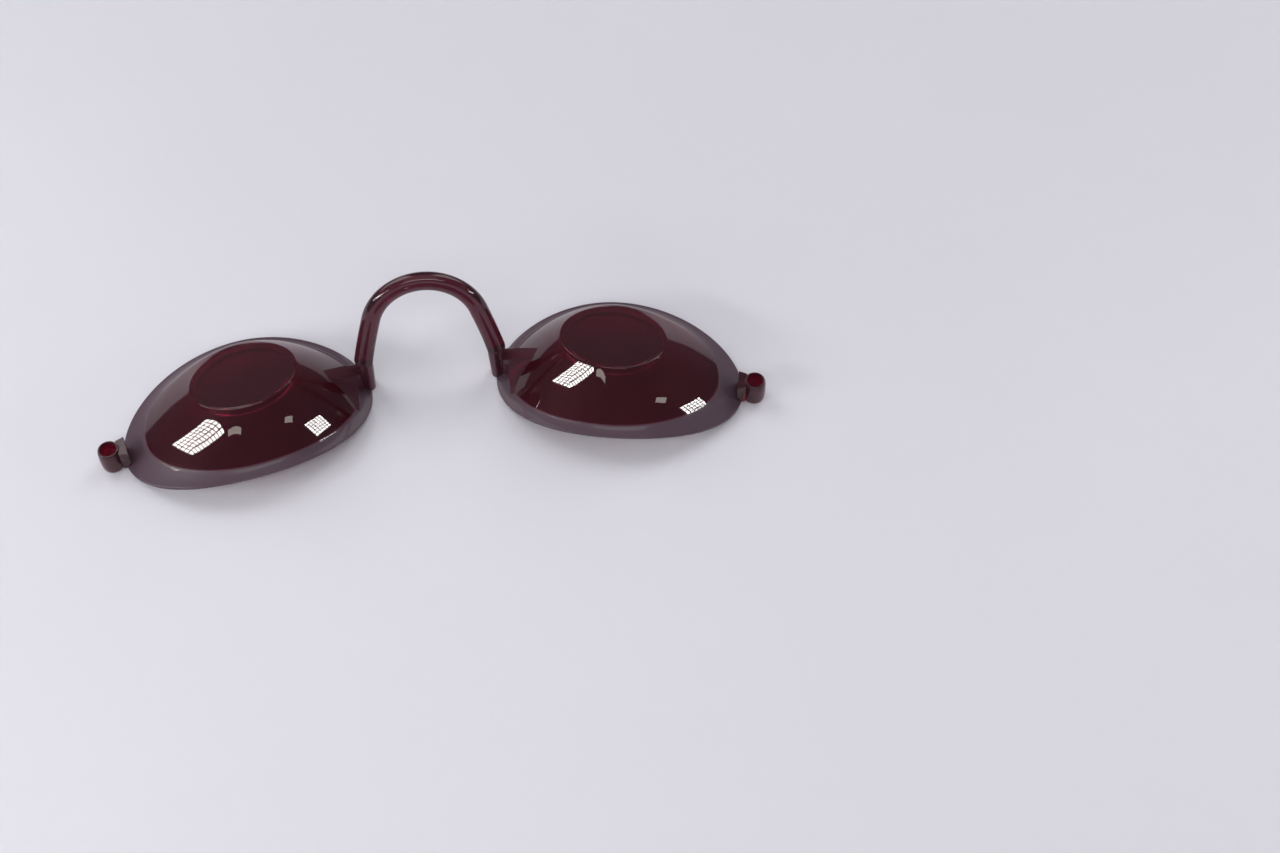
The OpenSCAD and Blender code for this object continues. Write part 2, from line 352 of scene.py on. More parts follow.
@dataclass(frozen=True)
class ClearPlastic(Finish):
    """Moulded clear plastic, glossy, with a satin finish where the mesh is painted so.

    Attributes:
        deep: Tint of the clear plastic where its flow is densest.
        pale: Tint where it is thinnest.
        haze: Colour of the satin finish.
        body: Colour of the faint cloudiness inside the glossy plastic.
        ior: How strongly it bends light.
        gloss: Roughness of the glossy finish.
        satin_gloss: Roughness of the satin finish.
        haze_share: Share of the cloudy shader where the finish is satin.
        body_share: Its share where the finish is glossy.
        frost: Roughness that frosted faces add.
        flow_scale: Waves to a metre of the streaks that the flow in the mould left.
        flow_detail: Their octaves of finer noise.
        flow_band: Levels of the streaks at which the tint is deep and pale.
        flow_gloss: Roughness that the streaks add to the gloss.
        flow_satin: Roughness that they add to the satin.
        dust: Specks of dust.
        dust_gloss: Roughness that they add.
        ripple: Slight waviness of the glossy faces.
        grain: Fine grain of the satin faces.
        sheen: Pale sheen of the satin faces at a flat angle.
        sheen_gloss: Roughness of that sheen.
    """

    deep: Colour = (0.11, 0.002, 0.011)
    pale: Colour = (0.15, 0.004, 0.018)
    haze: Colour = (0.088, 0.048, 0.072)
    body: Colour = (0.235, 0.018, 0.050)
    ior: float = 1.53
    gloss: float = 0.002
    satin_gloss: float = 0.46
    haze_share: float = 0.8
    body_share: float = 0.1
    frost: float = 0.42
    flow_scale: float = 60.0
    flow_detail: float = 3.0
    flow_band: tuple[float, float] = (0.3, 0.7)
    flow_gloss: float = 0.002
    flow_satin: float = 0.06
    dust: Mottle = Mottle(1900.0, 1.0, 0.80, 0.86)
    dust_gloss: float = 0.10
    ripple: Relief = Relief(90.0, 1.0, 0.00001, 0.25)
    grain: Relief = Relief(5200.0, 3.0, 0.00002, 0.3)
    sheen: float = 0.15
    sheen_gloss: float = 0.4

    def surface(self, g: Graph) -> bpy.types.NodeSocket:
        """Builds the clear and the cloudy shader and mixes them.

        Args:
            g: The material's tree.

        Returns:
            The shader socket.
        """
        satin = g.painted(Paint.SATIN)
        flow = g.noise(self.flow_scale, self.flow_detail)
        uneven = self.dust_gloss * self.dust.share(g) + self.flow_gloss * flow
        clear = g.node("ShaderNodeBsdfPrincipled", None, {
            "Base Color": g.mix(flow.between(*self.flow_band), self.deep, self.pale),
            "Roughness": self.gloss + uneven + self.frost * g.painted(Paint.FROST),
            "IOR": self.ior,
            "Transmission Weight": 1.0,
            "Normal": self.ripple.normal(g),
        })
        cloudy = g.node("ShaderNodeBsdfPrincipled", None, {
            "Base Color": g.mix(satin, self.body, self.haze),
            "Roughness": self.satin_gloss + self.flow_satin * flow,
            "IOR": self.ior,
            "Sheen Weight": self.sheen,
            "Sheen Roughness": self.sheen_gloss,
            "Normal": self.grain.normal(g),
        })
        both = g.node("ShaderNodeMixShader", None, {
            0: satin * (self.haze_share - self.body_share) + self.body_share,
            1: clear.outputs[0],
            2: cloudy.outputs[0],
        })
        return both.outputs[0]


class Plastic(Enum):
    """The clear plastics, by the piece that they are used on."""

    CUP = ClearPlastic("cup_plastic")
    WINDOW = ClearPlastic("window_plastic", body=(0.17, 0.030, 0.055), body_share=0.12)
    BRIDGE = ClearPlastic("bridge_plastic", deep=(0.07, 0.003, 0.014), pale=(0.11, 0.006, 0.026),
                          body=(0.22, 0.052, 0.085), body_share=0.11)
    ANCHOR = ClearPlastic("thick_plastic", deep=(0.04, 0.001, 0.005), pale=(0.06, 0.002, 0.009),
                          body=(0.17, 0.035, 0.065), body_share=0.3)
    EYELET = ClearPlastic("eyelet_plastic", deep=(0.14, 0.002, 0.012), pale=(0.18, 0.004, 0.019),
                          body=(0.15, 0.022, 0.046), body_share=0.2)


@dataclass(frozen=True)
class Bond(Finish):
    """Where two pieces of one moulding meet: light passes with no surface between."""

    def surface(self, g: Graph) -> bpy.types.NodeSocket:
        """Builds a shader that lets all light through."""
        return g.node("ShaderNodeBsdfTransparent", None, {"Color": (1, 1, 1, 1)}).outputs[0]


@dataclass(frozen=True)
class TableTop(Finish):
    """Pale smooth table, a little cool, with the faint mottling of card.

    Attributes:
        low: Its darker tone.
        high: Its lighter tone.
        tone: Patches of the two tones.
        relief: Tooth of the card.
        roughness: Its roughness.
        shine: How much it mirrors.
    """

    low: Colour = (0.74, 0.735, 0.805)
    high: Colour = (0.79, 0.785, 0.85)
    tone: Mottle = Mottle(2.5, 4.0, 0.3, 0.7)
    relief: Relief = Relief(900.0, 3.0, 0.0001, 0.06)
    roughness: float = 0.55
    shine: float = 0.2

    def surface(self, g: Graph) -> bpy.types.NodeSocket:
        """Builds the shader.

        Args:
            g: The material's tree.

        Returns:
            The shader socket.
        """
        card = g.node("ShaderNodeBsdfPrincipled", None, {
            "Base Color": g.mix(self.tone.share(g), self.low, self.high),
            "Roughness": self.roughness,
            "Specular IOR Level": self.shine,
            "Normal": self.relief.normal(g),
        })
        return card.outputs[0]


@dataclass(frozen=True)
class SoftboxCloth(Finish):
    """Lit cloth of a softbox, with a grid of bars in front of it where it has cells.

    Attributes:
        strength: Light that it sends out.
        tint: Its colour.
        cells: Cells of the grid across and along it, or None for no grid.
        bar: Share of each cell that its bar takes.
        dim: Share of the light that passes a bar.
    """

    strength: float
    tint: Colour = (1.0, 0.985, 0.97)
    cells: Optional[tuple[int, int]] = None
    bar: float = 0.26
    dim: float = 0.05

    def surface(self, g: Graph) -> bpy.types.NodeSocket:
        """Builds the light, dimmed on the bars of the grid.

        Args:
            g: The material's tree.

        Returns:
            The shader socket.
        """
        power: Operand = self.strength
        if self.cells:
            place = g.node("ShaderNodeTexCoord").outputs["UV"]
            parts = g.node("ShaderNodeSeparateXYZ", None, {0: place})
            lines = [g.math(Rule.FRACTION, Value(g, parts.outputs[i]) * self.cells[i])
                     for i in range(2)]
            open_cell = lines[0].above(self.bar) * lines[1].above(self.bar)
            power = (open_cell * (1 - self.dim) + self.dim) * self.strength
        lit = g.node("ShaderNodeEmission", None, {"Color": (*self.tint, 1), "Strength": power})
        return lit.outputs[0]


def lerp(first: np.ndarray, second: np.ndarray, share: Union[float, np.ndarray]) -> np.ndarray:
    """Point between two, or each between its two.

    Args:
        first: Where share is 0.
        second: Where share is 1.
        share: The share.

    Returns:
        The points between.
    """
    return first + (second - first) * share


def bulge(share: float) -> float:
    """Height of a bow at a share of its run, 0 at both ends and 1 in the middle."""
    return 4 * share * (1 - share)


def turned(points: np.ndarray, axis: Axis, degrees: float) -> np.ndarray:
    """Points turned about one axis through the origin.

    Args:
        points: The points, in the last index of the array.
        axis: The axis.
        degrees: Turn by the right hand rule.

    Returns:
        The turned points.
    """
    c, s = math.cos(math.radians(degrees)), math.sin(math.radians(degrees))
    i, j = axis.value
    made = np.array(points, float)
    made[..., i] = points[..., i] * c - points[..., j] * s
    made[..., j] = points[..., i] * s + points[..., j] * c
    return made


def eased(before: np.ndarray, corner: np.ndarray, after: np.ndarray, size: float,
          steps: int) -> list[np.ndarray]:
    """Rings that round off one corner of a profile.

    Args:
        before: Ring before the corner.
        corner: The corner's ring.
        after: Ring after the corner.
        size: How far from the corner the rounding starts.
        steps: Steps of the rounding.

    Returns:
        The rings in order.
    """
    arms = []
    for ring in (before, after):
        arm = ring - corner
        length = np.linalg.norm(arm, axis=-1, keepdims=True)
        arms.append(corner + arm / length * np.minimum(size, ARM_LIMIT * length))
    return [arms[0] * (1 - k) ** 2 + corner * 2 * k * (1 - k) + arms[1] * k**2
            for k in np.linspace(0, 1, steps + 1)]


def rounded(profile: Profile, loop: bool,
            steps: int = ROUND_STEPS) -> tuple[list[np.ndarray], list[int]]:
    """Rounds off the corners of a profile of rings.

    Args:
        profile: The profile.
        loop: Whether the last ring joins the first.
        steps: Steps of each rounding.

    Returns:
        The rings, and for each the place in the profile that it comes from.
    """
    rings, source = [], []
    for i, (ring, size) in enumerate(profile):
        inner = loop or 0 < i < len(profile) - 1
        if size > 0 and inner:
            made = eased(profile[i - 1][0], ring, profile[(i + 1) % len(profile)][0],
                         size, steps)
        else:
            made = [ring]
        rings += made
        source += [i] * len(made)
    return rings, source


@dataclass
class Skin:
    """Points and faces gathered for one mesh, in millimetres.

    Attributes:
        points: Rings of points.
        satin: Share of satin finish at each of their points.
        frost: Share of frosted finish at each of their points.
        faces: Faces, as places in the list of all points.
        kinds: For each face, its Region's value.
    """

    points: list[np.ndarray] = field(default_factory=list)
    satin: list[np.ndarray] = field(default_factory=list)
    frost: list[np.ndarray] = field(default_factory=list)
    faces: list[tuple[int, ...]] = field(default_factory=list)
    kinds: list[int] = field(default_factory=list)

    def loft(self, rings: Sequence[np.ndarray], satin: Sequence[float] = (),
             frost: Sequence[float] = (), bond: Sequence[bool] = (), loop: bool = False,
             caps: tuple[Region, Region] = (Region.SKIN, Region.SKIN)) -> None:
        """Joins rings of points, each a closed outline, into a skin.

        Args:
            rings: The rings, anticlockwise seen from their far end.
            satin: Share of satin finish on each ring.
            frost: Share of frosted finish on each ring.
            bond: For each belt, whether it only joins this piece to another.
            loop: Whether the last ring joins the first.
            caps: Finish of the first and the last ring's cap, where they don't join.
        """
        start = sum(len(p) for p in self.points)
        n, m = len(rings[0]), len(rings)
        self.points += [np.asarray(r, float) for r in rings]
        self.satin += [np.full(n, s) for s in satin] if len(satin) else [np.zeros(n)] * m
        self.frost += [np.full(n, f) for f in frost] if len(frost) else [np.zeros(n)] * m
        for j in range(m if loop else m - 1):
            a, b = start + j * n, start + (j + 1) % m * n
            kind = Region.BOND if bond and bond[j] else Region.SKIN
            for i in range(n):
                k = (i + 1) % n
                self.faces.append((a + i, a + k, b + k, b + i))
                self.kinds.append(kind.value)
        if loop:
            return
        last = start + (m - 1) * n
        self.faces += [tuple(range(start + n - 1, start - 1, -1)), tuple(range(last, last + n))]
        self.kinds += [cap.value for cap in caps]

    def mesh(self, name: str, side: Side) -> bpy.types.Mesh:
        """Makes the Blender mesh, mirrored for the left side.

        Args:
            name: The mesh's name.
            side: The side that it is for.

        Returns:
            The mesh.
        """
        points = np.concatenate(self.points) * MM
        faces = self.faces
        if side is Side.LEFT:
            points = points * np.array([-1, 1, 1])
            faces = [f[::-1] for f in faces]
        made = bpy.data.meshes.new(name)
        made.from_pydata(points.tolist(), [], faces)
        made.polygons.foreach_set("material_index", self.kinds)
        made.polygons.foreach_set("use_smooth", [True] * len(faces))
        for paint, shares in ((Paint.SATIN, self.satin), (Paint.FROST, self.frost)):
            layer = made.attributes.new(paint.value, "FLOAT", "POINT")
            layer.data.foreach_set("value", np.concatenate(shares).astype(np.float32))
        made.update()
        made.set_sharp_from_angle(angle=math.radians(CRISP))
        return made


class Piece:
    """What every visible piece shares: it takes its finishes and its node's place."""

    def stand(self, mesh: bpy.types.Mesh, name: str, finishes: Sequence[bpy.types.Material],
              nodes: Sequence[str], slot: Slot) -> bpy.types.Object:
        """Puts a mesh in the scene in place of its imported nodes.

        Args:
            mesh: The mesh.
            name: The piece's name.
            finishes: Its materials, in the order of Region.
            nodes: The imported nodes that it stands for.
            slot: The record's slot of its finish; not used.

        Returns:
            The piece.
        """
        made = bpy.data.objects.new(name, mesh)
        bpy.context.scene.collection.objects.link(made)
        for finish in finishes:
            mesh.materials.append(finish)
        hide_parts(*nodes)
        LOG.info("%s: %d faces", name, len(mesh.polygons))
        return made

    def trim(self, target: bpy.types.Object, tool: bpy.types.Mesh, way: Trim) -> None:
        """Joins or cuts a piece by another mesh that takes the piece's own finishes.

        Args:
            target: The piece.
            tool: The other mesh.
            way: Whether it joins or cuts.
        """
        for finish in target.data.materials:
            tool.materials.append(finish)
        other = bpy.data.objects.new("trimmer", tool)
        bpy.context.scene.collection.objects.link(other)
        step = target.modifiers.new("trim", "BOOLEAN")
        step.operation = way.value
        step.object = other
        step.solver = "EXACT"
        step.material_mode = "TRANSFER"
        bpy.context.view_layer.update()
        shape = target.evaluated_get(bpy.context.evaluated_depsgraph_get())
        made = bpy.data.meshes.new_from_object(shape)
        target.modifiers.clear()
        old = target.data
        target.data = made
        made.name = old.name
        made.set_sharp_from_angle(angle=math.radians(CRISP))
        bpy.data.objects.remove(other)


@dataclass
class EyeCup(Piece):
    """Domed eye cup with its brim, its hollow and the seat of its window.

    Sizes are in millimetres and degrees, in the cup's own frame: X towards the temple along the
    rim, Y towards the brow, Z away from the face. Three values stand for the temple, the nose and
    the long sides.

    Attributes:
        side: The side that it stands on.
        middle: Place of its own frame along the pair's X.
        shift: Place of its own frame along the pair's Y.
        sweep: Turn of its long axis, temple end towards the cheek.
        rim_temple: Reach of the rim towards the temple.
        rim_nose: Reach of the rim towards the nose.
        rim_half: Half the rim's width.
        rim_rise: How far the rim's long sides stand over its ends.
        nose_up: Shift of the rim's nose end towards the brow.
        wall: Thickness of the shell.
        lip: Height of the upright lip at the rim.
        brim: Width of the brim.
        crease: Height of the crease between brim and dome over the rim.
        sag: How far the brim sags between the lip and the crease.
        bow_ends: Bow of the dome at the temple and at the nose, in millimetres.
        bow_sides: Bow of the dome at the cheek and at the brow, in millimetres.
        bow_skew: Share of the bow moved towards the crease, or to the top where below 0.
        window_r: Radius of the window.
        window_t: Thickness of the window.
        window_at: Middle of the window's outer face.
        window_tilt: Tilt of the window towards the brow.
        window_lean: Lean of the window towards the temple.
        land: Width of the flat ring round the window.
        ledge: Width of the ledge under the window.
        thinned: Shares of the wall by which the inner crease is drawn in and lowered.
        foot_rounding: Rounding of the rim's foot.
        lip_rounding: Rounding of the lip's upper edge.
        fold_rounding: Rounding of the crease.
        top_rounding: Rounding of the dome's top edge.
        window_rounding: Rounding of the edge round the window.
        hole_rounding: Rounding of the lower edge of the hole under the window.
        inner_rounding: Rounding of the inner crease and of the inner top edge.
        inner_foot_rounding: Rounding of the rim's foot on the inside.
        shadow_depth: How far the mesh that trims the cup's neighbours goes under the table.
        around: Points round each ring.
        brim_steps: Rings between the lip and the crease.
        dome_steps: Steps from the crease to the window.
    """

    side: Side
    middle: float = 37.45
    shift: float = 0.1
    sweep: float = 13.3
    rim_temple: float = 27.4
    rim_nose: float = 24.8
    rim_half: float = 17.7
    rim_rise: float = 5.5
    nose_up: float = 0.7
    wall: float = 1.3
    lip: float = 0.7
    brim: tuple[float, float, float] = (4.9, 2.3, 1.8)
    crease: tuple[float, float, float] = (4.0, 1.9, 1.6)
    sag: float = 0.15
    bow_ends: tuple[float, float] = (0.41, 0.54)
    bow_sides: tuple[float, float] = (0.02, 0.44)
    bow_skew: float = -0.16
    window_r: float = 10.6
    window_t: float = 1.2
    window_at: tuple[float, float, float] = (-0.1, 2.7, 13.1)
    window_tilt: float = 17.0
    window_lean: float = 3.0
    land: float = 0.4
    ledge: float = 0.9
    thinned: tuple[float, float] = (0.75, 0.7)
    foot_rounding: float = 0.25
    lip_rounding: float = 0.2
    fold_rounding: float = 0.1
    top_rounding: float = 0.12
    window_rounding: float = 0.01
    hole_rounding: float = 0.12
    inner_rounding: float = 0.3
    inner_foot_rounding: float = 0.15
    shadow_depth: float = 2.0
    around: int = 288
    brim_steps: int = 4
    dome_steps: int = 22

    @property
    def angles(self) -> np.ndarray:
        """Angles of the points round each ring."""
        return np.linspace(0, 2 * np.pi, self.around, endpoint=False)

    def to_row(self, points: np.ndarray) -> np.ndarray:
        """Moves points from the cup's own frame to the right hand cup's place.

        Args:
            points: The points, in millimetres.

        Returns:
            The moved points.
        """
        return turned(points, Axis.Z, -self.sweep) + np.array([self.middle, self.shift, 0])

    def ends(self, values: Sequence[Union[float, np.ndarray]]) -> np.ndarray:
        """A size that changes round the cup.

        Args:
            values: The size at the temple, at the nose and at the long sides.

        Returns:
            The size at each angle.
        """
        temple, nose, side = values
        c = np.cos(self.angles)
        return side + (np.where(c >= 0, temple, nose) - side) * c**2

    def rim(self, inset: Union[float, np.ndarray], up: Union[float, np.ndarray]) -> np.ndarray:
        """Ring on the rim's outline.

        Args:
            inset: How far it is drawn in.
            up: How far it is raised.

        Returns:
            The ring's points in the cup's frame.
        """
        c, s = np.cos(self.angles), np.sin(self.angles)
        reach = np.where(c >= 0, self.rim_temple, self.rim_nose)
        across = (self.rim_half - inset) * s + self.nose_up * np.maximum(0, -c) ** 3
        return np.stack([(reach - inset) * c, across, self.rim_rise * s**2 + up], 1)

    def fold(self, inset: float, down: float) -> np.ndarray:
        """Ring along the crease between brim and dome.

        Args:
            inset: How far it is drawn in.
            down: How far it is lowered.

        Returns:
            The ring's points in the cup's frame.
        """
        return self.rim(self.ends(self.brim) + inset, self.ends(self.crease) - down)

    def on_window(self, radius: float, up: float) -> np.ndarray:
        """Ring round the window.

        Args:
            radius: Its radius.
            up: Its height over the window's outer face.

        Returns:
            The ring's points in the cup's frame.
        """
        c, s = np.cos(self.angles), np.sin(self.angles)
        flat = np.stack([radius * c, radius * s, np.full_like(c, up)], 1)
        tilted = turned(turned(flat, Axis.X, -self.window_tilt), Axis.Y, self.window_lean)
        return tilted + np.array(self.window_at)

    @property
    def bow(self) -> np.ndarray:
        """How far the dome bows out above a straight slope, at each angle."""
        cheek, brow = self.bow_sides
        return self.ends((*self.bow_ends, np.where(np.sin(self.angles) >= 0, brow, cheek)))

    def dome(self, low: np.ndarray, top: np.ndarray) -> list[np.ndarray]:
        """Rings of the dome between its lowest and its highest, without these two.

        Args:
            low: The lowest ring.
            top: The highest ring.

        Returns:
            The rings between, upwards.
        """
        slope = top - low
        run = np.linalg.norm(slope[:, :2], axis=1)
        out = np.stack([-slope[:, 0] * slope[:, 2] / run, -slope[:, 1] * slope[:, 2] / run, run], 1)
        out *= (self.bow / np.linalg.norm(slope, axis=1))[:, None]
        shares = [k / self.dome_steps for k in range(1, self.dome_steps)]
        return [low + slope * k + out * bulge(k) * (1 + self.bow_skew * (1 - 2 * k))
                for k in shares]

    def outside(self) -> Profile:
        """Outer skin from the rim's foot to the window's edge.

        Returns:
            Its profile: the foot, the lip, the brim's slope, the crease, the dome and its top.
        """
        lip, fold = self.rim(0, self.lip), self.fold(0, 0)
        sag = np.array([0, 0, self.sag])
        shares = [k / (self.brim_steps + 1) for k in range(1, self.brim_steps + 1)]
        slope = [(lerp(lip, fold, k) - sag * bulge(k), 0.0) for k in shares]
        top = self.on_window(self.window_r + self.land, 0)
        return [(self.rim(0, 0), self.foot_rounding), (lip, self.lip_rounding), *slope,
                (fold, self.fold_rounding), *[(ring, 0.0) for ring in self.dome(fold, top)],
                (top, self.top_rounding), (self.on_window(self.window_r, 0), self.window_rounding)]

    def inside(self) -> Profile:
        """Inner skin from the window's ledge to the rim's foot.

        Returns:
            Its profile.
        """
        inset, down = (share * self.wall for share in self.thinned)
        floor = -self.window_t - down
        hole = self.window_r - self.ledge
        fold, foot = self.fold(inset, down), self.rim(self.wall, 0)
        top = self.on_window(self.window_r + self.land - self.wall / 2, floor)
        return [(self.on_window(hole, floor), self.hole_rounding), (top, self.inner_rounding),
                *[(ring, 0.0) for ring in reversed(self.dome(fold, top))],
                (fold, self.inner_rounding), (lerp(foot, fold, 0.5), 0.0),
                (foot, self.inner_foot_rounding)]

    def build(self, finishes: Sequence[bpy.types.Material]) -> bpy.types.Object:
        """Builds the cup and seats it on its body.

        Args:
            finishes: Its materials.

        Returns:
            The piece.
        """
        outer, inner = self.outside(), self.inside()
        seat = [(self.on_window(self.window_r, -self.window_t), 0.0),
                (self.on_window(self.window_r - self.ledge, -self.window_t), 0.0)]
        rings, source = rounded([*outer, *seat, *inner], True)
        # Places in the profile, which starts with the rim's foot and the lip.
        crease = 2 + self.brim_steps
        window_edge, ledge_edge, hole = len(outer) - 1, len(outer) + 1, len(outer) + 2
        satin = [1.0 if place <= crease else 0.0 for place in source]
        frost = [1.0 if place > hole else 0.0 for place in source]
        bond = [window_edge <= a < b <= ledge_edge for a, b in zip(source, source[1:] + source[:1])]
        skin = Skin()
        skin.loft([self.to_row(r) for r in rings], satin, frost, bond, loop=True)
        name = f"{self.side.word}_cup_shell"
        made = self.stand(skin.mesh(name, self.side), name, finishes,
                          [f"{self.side.word}_eye_cup"], Slot.CUP)
        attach(made, f"{self.side.word}_cup")
        return made

    def shadow(self) -> bpy.types.Mesh:
        """Closed mesh of all that lies in and under the cup, which trims what stands on it.

        Returns:
            The mesh.
        """
        rings, _ = rounded(self.outside()[:-1], False)
        foot = self.rim(0, 0)
        foot[:, 2] = -self.shadow_depth
        skin = Skin()
        skin.loft([self.to_row(r) for r in [foot, *rings]])
        skin.kinds = [Region.BOND.value] * len(skin.kinds)
        return skin.mesh("cup_shadow", self.side)


@dataclass
class FilterWindow(Piece):
    """Flat round window that sits on the cup's ledge.

    Attributes:
        cup: Its cup.
        edge_rounding: Rounding of the outer face's edge.
        margin: Width of a flat ring inside that edge, which keeps the shading even.
        hub: Radius of the innermost ring, which a cap closes.
    """

    cup: EyeCup
    edge_rounding: float = 0.01
    margin: float = 0.3
    hub: float = 0.05

    def build(self, finishes: Sequence[bpy.types.Material]) -> bpy.types.Object:
        """Builds the window and seats it on its body.

        Args:
            finishes: Its materials.

        Returns:
            The piece.
        """
        cup = self.cup
        radius, low = cup.window_r, -cup.window_t
        corners = [(self.hub, low, 0.0), (radius - cup.ledge, low, 0.0), (radius, low, 0.0),
                   (radius, 0, self.edge_rounding), (radius - self.margin, 0, 0.0),
                   (self.hub, 0, 0.0)]
        rings, source = rounded([(cup.on_window(r, up), size) for r, up, size in corners], False)
        # The ledge and the wall of the seat touch the window from corner 1 to corner 3.
        ledge_edge, face_edge = 1, 3
        bond = [ledge_edge <= a < b <= face_edge for a, b in zip(source, source[1:])]
        frost = [1.0 if place < face_edge else 0.0 for place in source]
        skin = Skin()
        skin.loft([cup.to_row(r) for r in rings], frost=frost, bond=bond)
        side = cup.side
        name = f"{side.word}_window_disc"
        made = self.stand(skin.mesh(name, side), name, finishes,
                          [f"{side.word}_filter_window"], Slot.WINDOW)
        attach(made, f"{side.word}_cup")
        return made


@dataclass
class Arch:
    """Middle line and section of the twin rail arch.

    Attributes:
        cup: The right hand or left hand cup that it meets.
        foot_out: How far its feet stand out from the rim's nose end.
        height: Height of the crown's middle line over the feet, in the arch's plane.
        splay: Degrees by which its legs spread.
        lean: Degrees by which its plane leans towards the brow.
        foot_z: Height of the feet over the table.
        foot_back: How far the feet stand towards the brow from the rim's nose end.
        width: Width over both rails.
        depth: Depth of the rails.
        groove: Depth of the groove at the feet and at the crown, as a share of half the depth.
        groove_fade: How fast the groove goes from the one to the other.
        groove_at: Place of the groove across the width, as a share of it.
        groove_half: Half width of the groove, as a share of the width.
        facet: Length of leg over which the inner rail turns flat topped.
        flat_power: How flat it turns, 1 for round and 0 for square.
        curl: How far the feet curl in from the legs' straight line.
        around: Points round the section.
    """

    cup: EyeCup
    foot_out: float = 0.3
    height: float = 18.3
    splay: float = 17.7
    lean: float = 15.2
    foot_z: float = 9.7
    foot_back: float = -0.6
    width: float = 3.9
    depth: float = 3.5
    groove: tuple[float, float] = (0.42, 0.16)
    groove_fade: float = 0.7
    groove_at: float = 0.1
    groove_half: float = 0.13
    facet: float = 4.0
    flat_power: float = 0.45
    curl: float = 0.45
    around: int = 96

    @property
    def tip(self) -> tuple[float, float]:
        """Nose end of the rim in the row frame, x and y."""
        x, y, _ = self.cup.to_row(np.array([-self.cup.rim_nose, self.cup.nose_up, 0]))
        return x, y

    @property
    def section(self) -> np.ndarray:
        """Angles of the points round the rails' section."""
        return -np.linspace(0, 2 * np.pi, self.around, endpoint=False)

    @property
    def foot_y(self) -> float:
        """Place of the feet along Y."""
        return self.tip[1] + self.foot_back

    @property
    def foot_x(self) -> float:
        """Place of the right foot along X."""
        return self.tip[0] + self.foot_out

    @property
    def radius(self) -> float:
        """Radius of the crown, which follows from the feet and the height."""
        a = math.radians(self.splay)
        spread = self.foot_x + self.curl - self.height * math.tan(a)
        return spread / (math.cos(a) - math.tan(a) * (1 - math.sin(a)))

    @property
    def leg(self) -> float:
        """Length of each straight leg."""
        a = math.radians(self.splay)
        return (self.height - self.radius * (1 - math.sin(a))) / math.cos(a)

    @property
    def turn(self) -> float:
        """Length of the crown's curve from the middle to one leg."""
        return self.radius * (math.pi / 2 - math.radians(self.splay))

    def along(self, run: float) -> tuple[np.ndarray, float]:
        """Point and outward angle of the right half's middle line.

        Args:
            run: Length from the crown's middle.

        Returns:
            The point in the arch's plane, and the angle.
        """
        if run <= self.turn:
            a = math.pi / 2 - run / self.radius
            middle = np.array([0, self.height - self.radius])
            return middle + self.radius * np.array([math.cos(a), math.sin(a)]), a
        a = math.radians(self.splay)
        rest = self.turn + self.leg - run
        drawn = self.curl * (1 - (1 - rest / self.leg) ** 2)
        return np.array([self.foot_x + drawn - rest * math.sin(a), rest * math.cos(a)]), a

    def blunt(self, b: np.ndarray, share: float) -> np.ndarray:
        """Sine whose wave turns flat topped on the inner rail.

        Args:
            b: Angles round the section.
            share: How flat it turns.

        Returns:
            The sine at each angle.
        """
        power = np.where(np.cos(b) < self.groove_at, 1 + (self.flat_power - 1) * share, 1)
        return np.sign(np.sin(b)) * np.abs(np.sin(b)) ** power

    def ring(self, run: float, groove: Optional[float] = None, sunk: float = 0.0) -> np.ndarray:
        """Section of the two rails at one place.

        Args:
            run: Length from the crown's middle.
            groove: Depth of the groove as a share of half the depth, or None for its own.
            sunk: Share by which the outer rail's cheek side is sunk.

        Returns:
            The ring's points in the row frame.
        """
        point, a = self.along(run)
        b = self.section
        length = self.turn + self.leg
        if groove is None:
            foot, crown = self.groove
            wave = max(0.0, math.cos(math.pi / 2 * run / length))
            groove = foot + (crown - foot) * wave**self.groove_fade
        share = max(0.0, 1 - (length - run) / self.facet)
        across = self.width / 2 * np.cos(b)
        place = (across / self.width - self.groove_at) / self.groove_half
        depth = self.depth / 2 * self.blunt(b, share) * (1 - groove * np.exp(-place**2))
        depth *= np.where((np.sin(b) < 0) & (place > 0), 1 - sunk, 1)
        x = point[0] + across * math.cos(a)
        rise = point[1] + across * math.sin(a)
        lean = math.radians(self.lean)
        return np.stack([x, self.foot_y + rise * math.sin(lean) + depth * math.cos(lean),
                         self.foot_z + rise * math.cos(lean) - depth * math.sin(lean)], 1)


@dataclass
class BridgeHalf(Piece):
    """One half of the arch, from the crown down to its cup.

    Attributes:
        arch: The arch.
        side: The side of the half.
        steps: Rings along it.
        still: Distance from the crown of a point that the build works out but doesn't use.
        settled: Distance from the crown of a second such point, also not used.
    """

    arch: Arch
    side: Side
    steps: int = 64
    still: float = 3.0
    settled: float = 21.5

    def build(self, finishes: Sequence[bpy.types.Material]) -> bpy.types.Object:
        """Builds the half and bakes its place into its mesh.

        Args:
            finishes: Its materials.

        Returns:
            The piece.
        """
        arch, side = self.arch, self.side
        length = arch.turn + arch.leg
        rings = [arch.ring(length * k / self.steps) for k in range(self.steps + 1)]
        skin = Skin()
        skin.loft(rings, caps=(Region.BOND, Region.BOND))
        name = f"{side.word}_bridge_rails"
        made = self.stand(skin.mesh(name, side), name, finishes, ["nose_bridge"], Slot.BRIDGE)
        crown, foot = rings[0].mean(0), rings[-1].mean(0)
        way = (foot - crown) / np.linalg.norm(foot - crown)
        flip = np.array([side.value, 1, 1])
        start, end = (tuple((crown + way * d) * flip * MM) for d in (self.still, self.settled))
        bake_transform(made)
        return made


